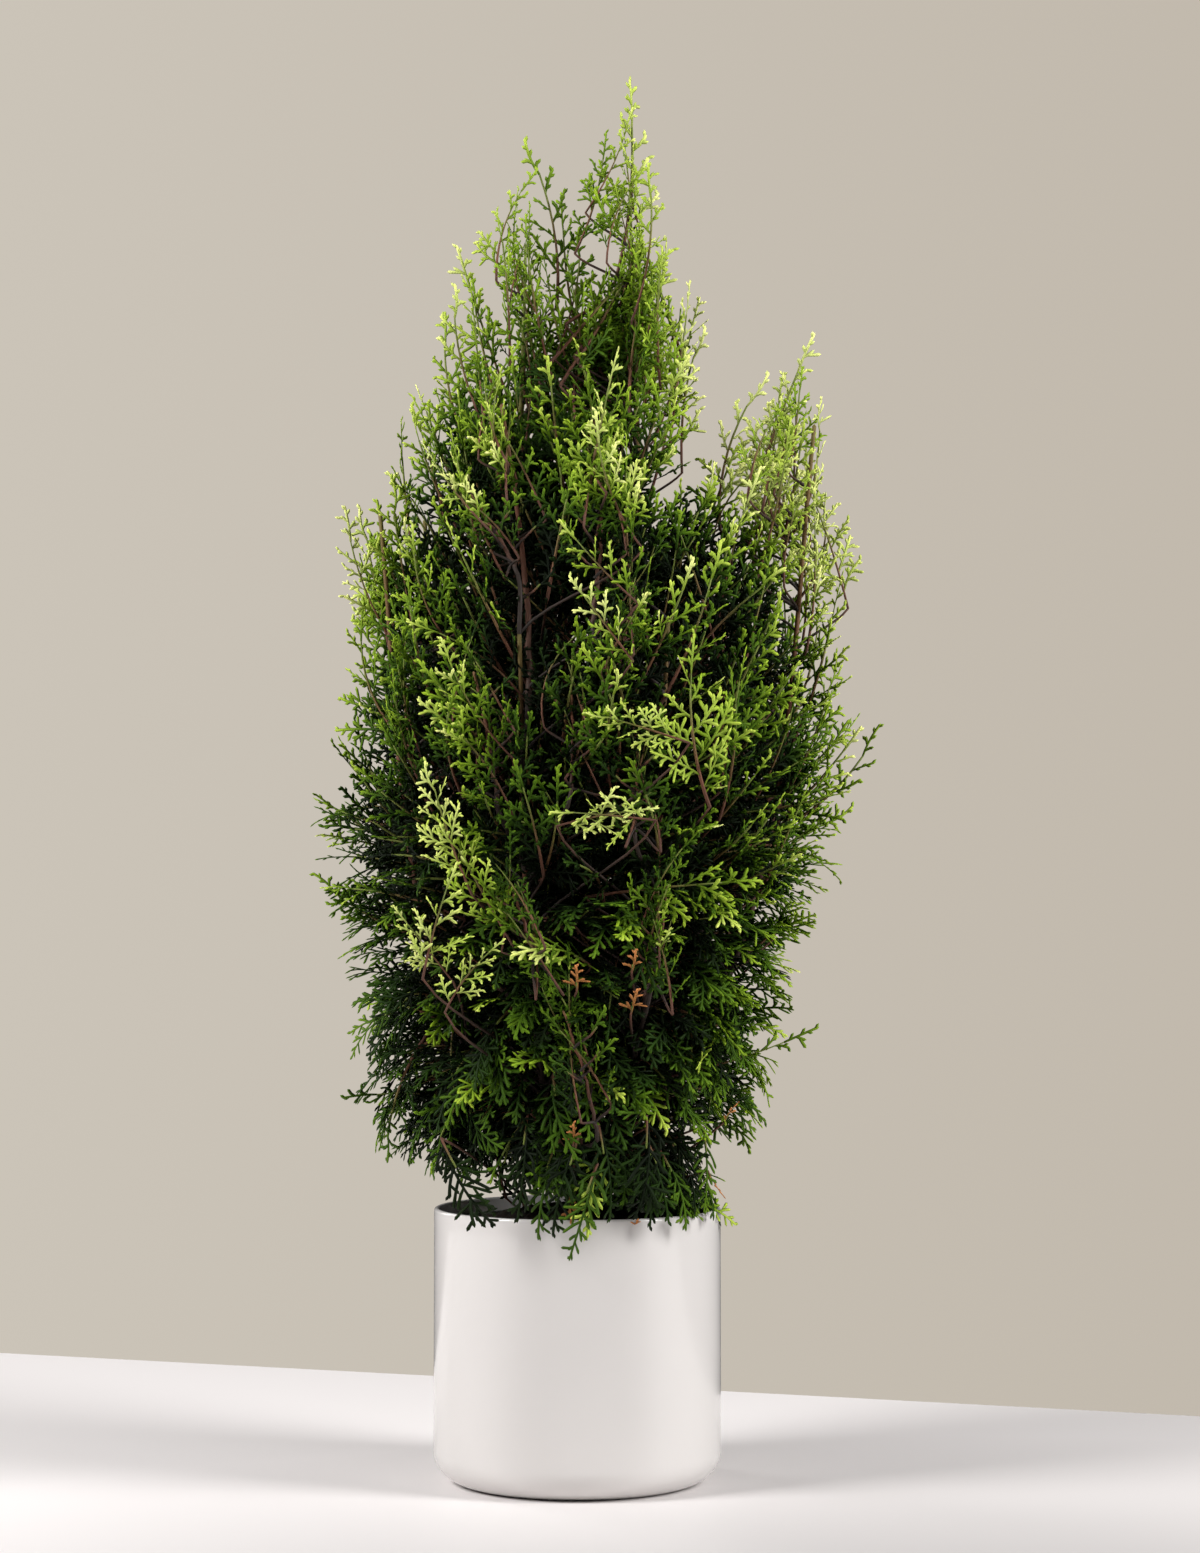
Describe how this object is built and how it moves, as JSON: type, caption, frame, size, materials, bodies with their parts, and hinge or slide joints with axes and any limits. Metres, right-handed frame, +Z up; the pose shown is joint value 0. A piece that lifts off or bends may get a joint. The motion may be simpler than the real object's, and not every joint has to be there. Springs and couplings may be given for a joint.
{
  "type": "artificial tabletop tree",
  "caption": "Artificial cedar tree with hinged boughs of flat scale-leaf sprays, lifting out of a plain round glazed planter.",
  "frame": {"origin": "centre of the planter's flat base", "axes": "+Z up along the trunk, -Y towards the front of the pictured view, +X to its right"},
  "size_m": [0.2647, 0.2107, 0.6209],
  "materials": {
    "glaze": "gloss",
    "black_plastic": "matte",
    "cement": "matte",
    "soil": "matte",
    "bark": "matte",
    "steel": "satin",
    "foliage": "satin"
  },
  "bodies": {
    "planter": {"planter_pot": "glaze"},
    "tree": {"liner_pot": "black_plastic", "ballast_block": "cement", "soil_cover": "soil", "trunk_stem": "bark", "bough_hub": "black_plastic", "hinge_pin_1": "steel", "hinge_pin_2": "steel", "hinge_pin_3": "steel", "hinge_pin_4": "steel", "hinge_pin_5": "steel", "hinge_pin_6": "steel", "hinge_pin_7": "steel", "skirt_fronds": "foliage", "trunk_fronds": "foliage", "leader_right_fronds_1": "foliage", "leader_right_fronds_2": "foliage", "leader_right_fronds_3": "foliage", "leader_right_fronds_4": "foliage", "leader_left_fronds_1": "foliage", "leader_left_fronds_2": "foliage", "leader_left_fronds_3": "foliage"},
    "bough_1": {"bough_1_stem": "bark", "bough_1_fronds_1": "foliage", "bough_1_fronds_2": "foliage", "bough_1_fronds_3": "foliage"},
    "bough_2": {"bough_2_stem": "bark", "bough_2_fronds_1": "foliage", "bough_2_fronds_2": "foliage"},
    "bough_3": {"bough_3_stem": "bark", "bough_3_fronds_1": "foliage", "bough_3_fronds_2": "foliage"},
    "bough_4": {"bough_4_stem": "bark", "bough_4_fronds_1": "foliage", "bough_4_fronds_2": "foliage", "bough_4_fronds_3": "foliage"},
    "bough_5": {"bough_5_stem": "bark", "bough_5_fronds_1": "foliage", "bough_5_fronds_2": "foliage", "bough_5_fronds_3": "foliage"},
    "bough_6": {"bough_6_stem": "bark", "bough_6_fronds_1": "foliage", "bough_6_fronds_2": "foliage"},
    "bough_7": {"bough_7_stem": "bark", "bough_7_fronds_1": "foliage", "bough_7_fronds_2": "foliage"}
  },
  "joints": [
    {"name": "lift_out", "type": "slide", "parent": "planter", "child": "tree", "axis": [0, 0, 1], "range_m": [0, 0.135]},
    {"name": "bough_1_hinge", "type": "hinge", "parent": "tree", "child": "bough_1", "pos_m": [0.01436, -0.00202, 0.134], "axis": [0.1392, 0.9903, 0], "range_deg": [0, 20]},
    {"name": "bough_2_hinge", "type": "hinge", "parent": "tree", "child": "bough_2", "pos_m": [0.00737, -0.01248, 0.134], "axis": [0.861, 0.5086, 0], "range_deg": [0, 20]},
    {"name": "bough_3_hinge", "type": "hinge", "parent": "tree", "child": "bough_3", "pos_m": [-0.00516, -0.01355, 0.134], "axis": [0.9345, -0.356, 0], "range_deg": [0, 20]},
    {"name": "bough_4_hinge", "type": "hinge", "parent": "tree", "child": "bough_4", "pos_m": [-0.01381, -0.00441, 0.134], "axis": [0.3043, -0.9526, 0], "range_deg": [0, 20]},
    {"name": "bough_5_hinge", "type": "hinge", "parent": "tree", "child": "bough_5", "pos_m": [-0.01206, 0.00805, 0.134], "axis": [-0.5551, -0.8318, 0], "range_deg": [0, 20]},
    {"name": "bough_6_hinge", "type": "hinge", "parent": "tree", "child": "bough_6", "pos_m": [-0.00123, 0.01445, 0.134], "axis": [-0.9964, -0.0847, 0], "range_deg": [0, 20]},
    {"name": "bough_7_hinge", "type": "hinge", "parent": "tree", "child": "bough_7", "pos_m": [0.01053, 0.00997, 0.134], "axis": [-0.6874, 0.7262, 0], "range_deg": [0, 20]}
  ]
}
